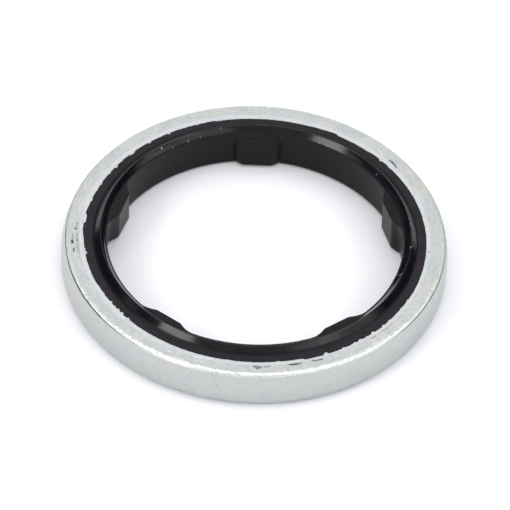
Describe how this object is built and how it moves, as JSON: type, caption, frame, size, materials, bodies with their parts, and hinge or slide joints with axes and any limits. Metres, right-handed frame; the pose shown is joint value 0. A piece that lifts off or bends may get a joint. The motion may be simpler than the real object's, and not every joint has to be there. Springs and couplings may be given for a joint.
{
  "type": "bonded sealing washer",
  "caption": "Flat steel washer with a black rubber seal bonded into its bore, a raised sealing bead on one face and small lugs that grip a thread.",
  "frame": {"origin": "middle of the flat underside of the rubber seal, on the washer's axis", "axes": "+Z along the washer's axis, out of the face that carries the sealing bead; +X lies 19 degrees clockwise of the first lug, seen from above"},
  "size_m": [0.036, 0.036, 0.0045],
  "materials": {
    "zinc_plated_steel": "zinc plated and clear passivated, dull, with handling marks",
    "moulded_rubber": "moulded, matt, a little dusty"
  },
  "bodies": {
    "root": {"steel_ring": "zinc_plated_steel", "rubber_seal": "moulded_rubber"}
  },
  "joints": []
}
